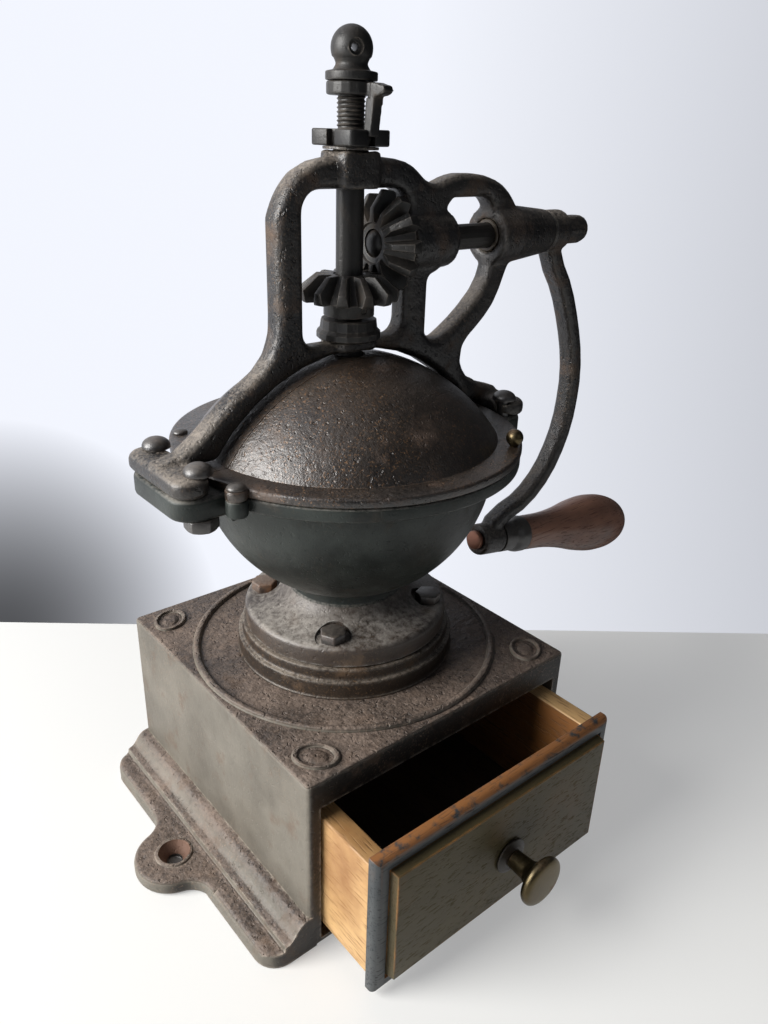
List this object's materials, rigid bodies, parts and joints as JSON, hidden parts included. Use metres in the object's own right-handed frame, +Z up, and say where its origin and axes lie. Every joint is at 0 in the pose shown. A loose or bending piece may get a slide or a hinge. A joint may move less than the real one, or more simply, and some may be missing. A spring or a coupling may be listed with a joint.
{
  "type": "counter coffee grinder",
  "caption": "Cast iron counter coffee grinder with a square base and drawer, round hopper with a swinging half lid, open frame with bevel gears, adjusting spindle and side crank.",
  "frame": {"origin": "middle of the base's underside, on the surface it stands on", "axes": "+Z up along the spindle, +X towards the crank, -Y the way the drawer opens"},
  "size_m": [0.4477, 0.2796, 0.4644],
  "materials": {
    "base_iron": "old dark iron with rust bloom and dust",
    "bowl_iron": "bluish green grey worn iron",
    "frame_iron": "dark iron with dusty rubbed edges",
    "lid_iron": "dark textured iron with a rust brown flange",
    "steel": "worn steel with dark grease",
    "bolt_iron": "dark rusty iron",
    "copper_steel": "copper coloured worn end",
    "bronze": "dull bronze",
    "brass": "worn brass",
    "drawer_wood": "light orange yellow wood",
    "front_wood": "dark worn wood with rubbed edges",
    "grip_wood": "polished reddish brown wood"
  },
  "bodies": {
    "body": {"base_casting": "base_iron", "hopper_bowl": "bowl_iron", "frame": "frame_iron", "rear_dome": "lid_iron", "outer_burr": "steel", "neck_bolt_1": "bolt_iron", "neck_bolt_2": "bolt_iron", "neck_bolt_3": "bolt_iron", "neck_bolt_4": "bolt_iron", "ear_bolt_1": "bolt_iron", "ear_bolt_2": "bolt_iron", "ear_bolt_3": "bolt_iron", "ear_bolt_4": "bolt_iron", "ear_nut_1": "bolt_iron", "ear_nut_2": "bolt_iron", "ear_nut_3": "bolt_iron", "ear_nut_4": "bolt_iron", "rear_dome_screw_1": "bolt_iron", "rear_dome_screw_2": "bolt_iron", "rear_dome_screw_3": "bolt_iron", "crank_bush_inner": "bronze", "crank_bush_outer": "bronze", "spindle_bush_upper": "bronze", "spindle_collar": "steel", "lid_pivot_pin": "bolt_iron"},
    "lid": {"lid": "lid_iron", "lid_knob": "brass"},
    "drawer": {"drawer_front": "front_wood", "drawer_side_left": "drawer_wood", "drawer_side_right": "drawer_wood", "drawer_back": "drawer_wood", "drawer_bottom": "drawer_wood", "drawer_knob": "brass", "drawer_rosette": "brass", "drawer_knob_screw": "bolt_iron"},
    "crank": {"crank_shaft": "steel", "crank_gear": "steel", "crank_gear_pin": "steel", "crank_arm": "frame_iron", "crank_end_nut": "frame_iron", "handle_pin": "copper_steel"},
    "handle": {"handle_grip": "grip_wood", "handle_ferrule": "bolt_iron"},
    "thrust": {"thrust_washer": "steel"},
    "spindle": {"spindle": "steel", "spindle_gear": "steel", "spindle_gear_pin": "steel", "inner_burr": "steel", "burr_nut": "steel", "auger": "bolt_iron"},
    "adjuster": {"adjusting_nut": "frame_iron"},
    "lock": {"lock_ring": "frame_iron"},
    "ball": {"ball_nut": "steel"}
  },
  "joints": [
    {"name": "crank_spin", "type": "hinge", "parent": "body", "child": "crank", "pos_m": [0, 0, 0.3622], "axis": [1, 0, 0], "continuous": true},
    {"name": "handle_spin", "type": "hinge", "parent": "crank", "child": "handle", "pos_m": [0.115, 0, 0.1518], "axis": [0.9848, 0, -0.1736], "continuous": true},
    {"name": "spindle_spin", "type": "hinge", "parent": "body", "child": "thrust", "pos_m": [0, 0, 0.409], "axis": [0, 0, 1], "continuous": true},
    {"name": "nut_turn", "type": "hinge", "parent": "thrust", "child": "adjuster", "pos_m": [0, 0, 0.4144], "axis": [0, 0, 1], "range_deg": [0, 271]},
    {"name": "spindle_height", "type": "slide", "parent": "thrust", "child": "spindle", "axis": [0, 0, 1], "range_m": [-0.0015, 0]},
    {"name": "lock_ring_lift", "type": "slide", "parent": "adjuster", "child": "lock", "axis": [0, 0, 1], "range_m": [0, 0.004]},
    {"name": "ball_nut_turn", "type": "hinge", "parent": "lock", "child": "ball", "pos_m": [0, 0, 0.45], "axis": [0, 0, 1], "range_deg": [0, 721]},
    {"name": "lid_swing", "type": "hinge", "parent": "body", "child": "lid", "pos_m": [-0.097, -0.0385, 0.2562], "axis": [0, 0, 1], "range_deg": [-110, 0]},
    {"name": "drawer_slide", "type": "slide", "parent": "body", "child": "drawer", "axis": [0, -1, 0], "range_m": [-0.051, 0.09]}
  ],
  "couplings": [
    {"joint": "spindle_spin", "follows": "crank_spin", "ratio": 1},
    {"joint": "nut_turn", "follows": "spindle_height", "rad_per_m": -3141.6},
    {"joint": "ball_nut_turn", "follows": "lock_ring_lift", "rad_per_m": 3141.6}
  ]
}
